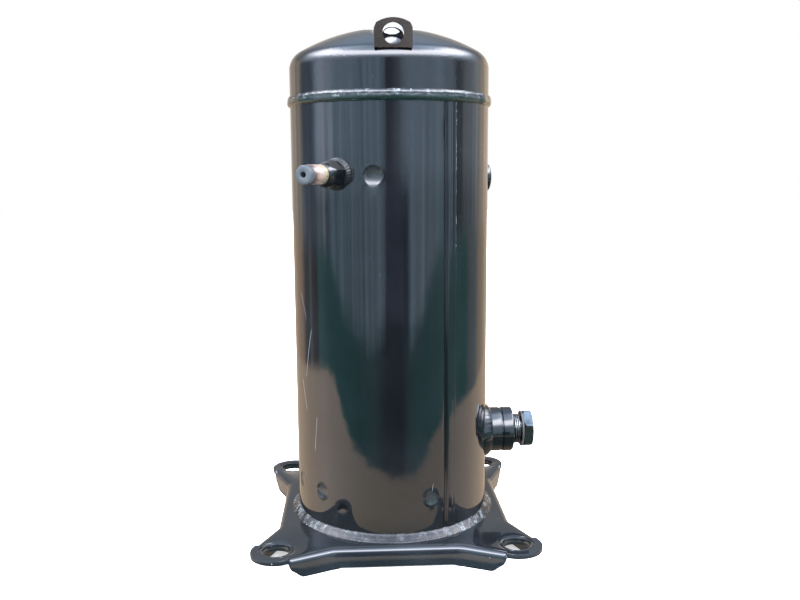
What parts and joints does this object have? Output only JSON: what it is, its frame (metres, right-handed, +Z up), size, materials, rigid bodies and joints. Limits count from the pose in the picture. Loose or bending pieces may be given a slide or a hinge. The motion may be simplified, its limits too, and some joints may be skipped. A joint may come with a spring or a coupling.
{
  "type": "scroll compressor",
  "caption": "Hermetic scroll compressor: tall black domed steel shell on a four-eared base plate, with lifting lug, oil port, stubs, motor and scroll set inside.",
  "frame": {"origin": "centre of the four mounting holes, on the underside of the base plate", "axes": "+Z up along the shell, -Y to the front with the lifting lug, +X to the oil port"},
  "size_m": [0.2401, 0.2485, 0.4251],
  "materials": {
    "shell_paint": "gloss black enamel over steel",
    "machined_steel": "machined steel with an oil film",
    "plug_steel": "plated steel, dulled",
    "dark_steel": "blackened steel",
    "zinc_steel": "zinc plated steel",
    "seal_rubber": "black elastomer",
    "stopper_rubber": "grey rubber, slightly dusty",
    "brass_tube": "drawn brass, heat tinted",
    "copper_tube": "drawn copper, dull",
    "pin_metal": "plated pins",
    "bead_glass": "fused glass beads",
    "cover_plastic": "moulded plastic",
    "lead_plastic": "insulating plastic",
    "lamination": "laminated electrical steel",
    "winding_copper": "varnished copper winding",
    "cage_aluminium": "die-cast aluminium",
    "frame_iron": "machined cast iron",
    "bearing_bronze": "bearing bronze",
    "oldham_alloy": "sintered alloy, machined"
  },
  "bodies": {
    "housing": {"body_shell": "shell_paint", "seam_weld": "shell_paint", "separator_plate": "machined_steel", "top_cap": "shell_paint", "top_weld": "shell_paint", "bottom_cap": "shell_paint", "base_plate": "shell_paint", "base_weld": "shell_paint", "lifting_lug": "shell_paint", "oil_port_weld": "shell_paint", "oil_port_boss": "shell_paint", "stub_weld": "shell_paint", "stub_boss": "shell_paint", "stub_tube": "brass_tube", "blanking_plug": "shell_paint", "suction_weld": "shell_paint", "suction_fitting": "copper_tube", "discharge_weld": "shell_paint", "discharge_fitting": "copper_tube", "terminal_cup": "machined_steel", "terminal_pins": "pin_metal", "pin_glass": "bead_glass", "terminal_box": "shell_paint", "earth_screw": "zinc_steel", "stator_core": "lamination", "stator_winding": "winding_copper", "overload_protector": "cover_plastic", "motor_leads": "lead_plastic", "lead_block": "lead_plastic", "lower_frame": "frame_iron", "lower_bearing": "bearing_bronze", "thrust_washer": "machined_steel", "main_frame": "frame_iron", "main_bearing": "bearing_bronze", "fixed_scroll": "frame_iron", "scroll_bolts": "dark_steel", "floating_seal": "seal_rubber", "valve_guard": "machined_steel", "guard_screws": "dark_steel"},
    "crank": {"crankshaft": "machined_steel", "oil_pickup": "machined_steel", "rotor_core": "lamination", "rotor_cage": "cage_aluminium", "upper_counterweight": "bearing_bronze", "lower_counterweight": "bearing_bronze"},
    "orbiter": {"orbiting_scroll": "frame_iron", "hub_bearing": "bearing_bronze"},
    "drift_ring": {"thrust_ring": "bearing_bronze"},
    "oldham": {"oldham_ring": "oldham_alloy"},
    "valve": {"discharge_valve": "machined_steel"},
    "oil_plug": {"oil_port_plug": "plug_steel", "plug_seal": "seal_rubber"},
    "stub_plug": {"stub_stopper": "stopper_rubber"},
    "suction_plug": {"suction_stopper": "stopper_rubber"},
    "discharge_plug": {"discharge_stopper": "stopper_rubber"},
    "terminal_lid": {"terminal_cover": "cover_plastic", "cover_screw": "zinc_steel"}
  },
  "joints": [
    {"name": "crank_spin", "type": "hinge", "parent": "housing", "child": "crank", "pos_m": [0, 0, 0.15], "axis": [0, 0, 1], "continuous": true},
    {"name": "scroll_orbit", "type": "hinge", "parent": "crank", "child": "orbiter", "pos_m": [0.0042, 0, 0.295], "axis": [0, 0, 1], "continuous": true},
    {"name": "ring_drift", "type": "hinge", "parent": "crank", "child": "drift_ring", "pos_m": [0.0021, 0, 0.304], "axis": [0, 0, 1], "continuous": true},
    {"name": "oldham_hold", "type": "hinge", "parent": "drift_ring", "child": "oldham", "pos_m": [0.0042, 0, 0.3], "axis": [0, 0, 1], "continuous": true},
    {"name": "valve_lift", "type": "slide", "parent": "housing", "child": "valve", "axis": [0, 0, 1], "range_m": [0, 0.0025]},
    {"name": "oil_plug_out", "type": "slide", "parent": "housing", "child": "oil_plug", "axis": [1, 0, 0], "range_m": [0, 0.03]},
    {"name": "stub_stopper_pull", "type": "slide", "parent": "housing", "child": "stub_plug", "axis": [-0.5299, -0.848, 0], "range_m": [0, 0.02]},
    {"name": "suction_stopper_pull", "type": "slide", "parent": "housing", "child": "suction_plug", "axis": [-0.4226, 0.9063, 0], "range_m": [0, 0.02]},
    {"name": "discharge_stopper_pull", "type": "slide", "parent": "housing", "child": "discharge_plug", "axis": [0, 1, 0], "range_m": [0, 0.02]},
    {"name": "terminal_cover_off", "type": "slide", "parent": "housing", "child": "terminal_lid", "axis": [0.3907, 0.9205, 0], "range_m": [0, 0.045]}
  ],
  "couplings": [
    {"joint": "scroll_orbit", "follows": "crank_spin", "ratio": -1},
    {"joint": "ring_drift", "follows": "crank_spin", "ratio": -2},
    {"joint": "oldham_hold", "follows": "crank_spin", "ratio": 1}
  ]
}
